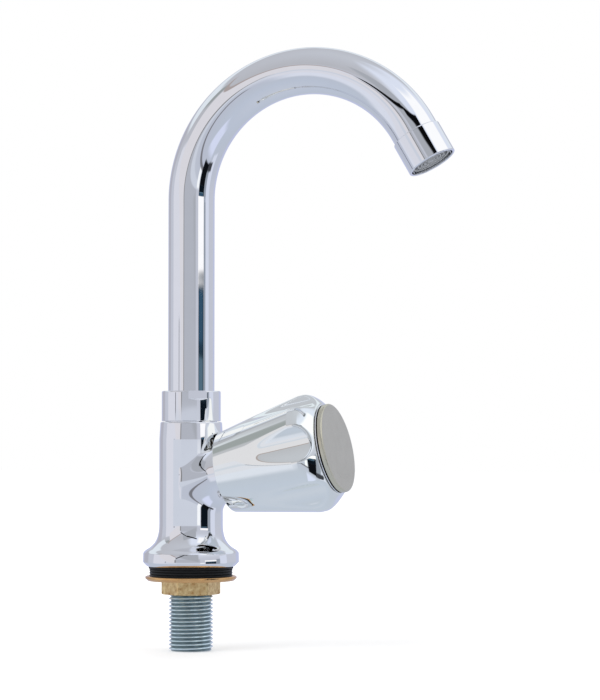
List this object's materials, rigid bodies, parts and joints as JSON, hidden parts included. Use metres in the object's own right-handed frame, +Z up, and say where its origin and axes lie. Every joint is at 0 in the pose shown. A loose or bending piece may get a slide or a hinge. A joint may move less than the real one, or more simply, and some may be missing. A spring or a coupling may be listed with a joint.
{
  "type": "pillar tap",
  "caption": "Deck-mounted pillar tap with a swivelling swan-neck spout, a fluted knob on the side that lifts a washer valve, and a backnut on a threaded shank.",
  "frame": {"origin": "centre of the flange's underside, on the pillar's axis", "axes": "+Z up along the pillar, +X the way that spout and handle point at rest, +Y to the left of someone who looks along +X"},
  "size_m": [0.1527, 0.055, 0.2839],
  "materials": {
    "chrome": "mirror plated",
    "satin_nickel": "satin plated",
    "cast_brass": "rough cast",
    "rolled_brass": "rolled sheet",
    "turned_brass": "turned",
    "zinc_steel": "bright zinc plated",
    "black_rubber": "matte moulded",
    "fibre": "pressed vulcanised fibre",
    "nylon": "moulded",
    "stainless": "bright",
    "grey_plastic": "moulded"
  },
  "bodies": {
    "tap_body": {"body_casting": "chrome", "threaded_shank": "zinc_steel", "shank_seal": "fibre", "base_gasket": "black_rubber", "spout_collar_nut": "chrome", "spout_bearing_ring": "nylon", "headwork_bonnet": "turned_brass", "bonnet_washer": "fibre"},
    "clamp_washer": {"clamp_washer": "rolled_brass"},
    "backnut": {"backnut": "cast_brass"},
    "spout": {"spout_tube": "chrome", "spout_tail": "turned_brass", "spout_o_rings": "black_rubber", "aerator_shell": "chrome", "aerator_washer": "black_rubber", "aerator_jet_disc": "grey_plastic", "aerator_cage": "grey_plastic", "aerator_mesh": "stainless"},
    "handle": {"handle_knob": "chrome", "handle_insert": "turned_brass", "handle_screw": "stainless", "handle_cap": "satin_nickel", "cap_ring": "chrome", "spindle": "turned_brass", "spindle_o_rings": "black_rubber", "spindle_circlip": "stainless", "thrust_washer": "nylon"},
    "valve_carrier": {"valve_carrier": "turned_brass", "valve_washer": "black_rubber", "valve_washer_nut": "turned_brass"}
  },
  "joints": [
    {"name": "spout_swivel", "type": "hinge", "parent": "tap_body", "child": "spout", "pos_m": [0, 0, 0.08], "axis": [0, 0, 1], "continuous": true},
    {"name": "handle_turn", "type": "hinge", "parent": "tap_body", "child": "handle", "pos_m": [0, 0, 0.0405], "axis": [0.9781, 0, 0.2079], "range_deg": [0, 540]},
    {"name": "valve_lift", "type": "slide", "parent": "tap_body", "child": "valve_carrier", "axis": [0.9781, 0, 0.2079], "range_m": [0, 0.00451]},
    {"name": "washer_slide", "type": "slide", "parent": "tap_body", "child": "clamp_washer", "axis": [0, 0, -1], "range_m": [0, 0.02359]},
    {"name": "backnut_turn", "type": "hinge", "parent": "clamp_washer", "child": "backnut", "pos_m": [0, 0, -0.01], "axis": [0, 0, -1], "range_deg": [0, 4680]}
  ],
  "couplings": [
    {"joint": "valve_lift", "follows": "handle_turn", "m_per_rad": 0.00047746},
    {"joint": "washer_slide", "follows": "backnut_turn", "m_per_rad": 0.00028871}
  ]
}
